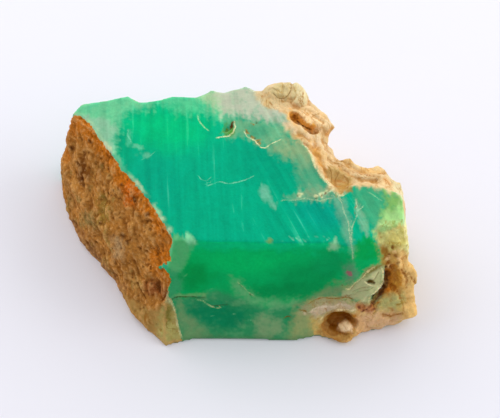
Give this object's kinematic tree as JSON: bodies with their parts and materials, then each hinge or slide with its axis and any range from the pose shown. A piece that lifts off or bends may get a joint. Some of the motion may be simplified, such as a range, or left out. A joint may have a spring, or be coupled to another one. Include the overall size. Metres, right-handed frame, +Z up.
{
  "type": "chrysocolla specimen",
  "caption": "Rough blue-green chrysocolla stone with a sawn flat top and front, a brown crusted left wall and a folded cream rind with nodules and hollows on the right.",
  "frame": {"origin": "middle of the bounding box, on the flat underside that the stone rests on", "axes": "+X along the long side to the right of the sawn front, +Y from the sawn front to the back, +Z up out of the sawn top"},
  "size_m": [0.0512, 0.0352, 0.0163],
  "materials": {
    "chrysocolla": "waxy blue-green chalcedony with sawn flats, a cream and peach rind and a rough brown iron crust"
  },
  "bodies": {
    "root": {"chrysocolla_stone": "chrysocolla"}
  },
  "joints": []
}
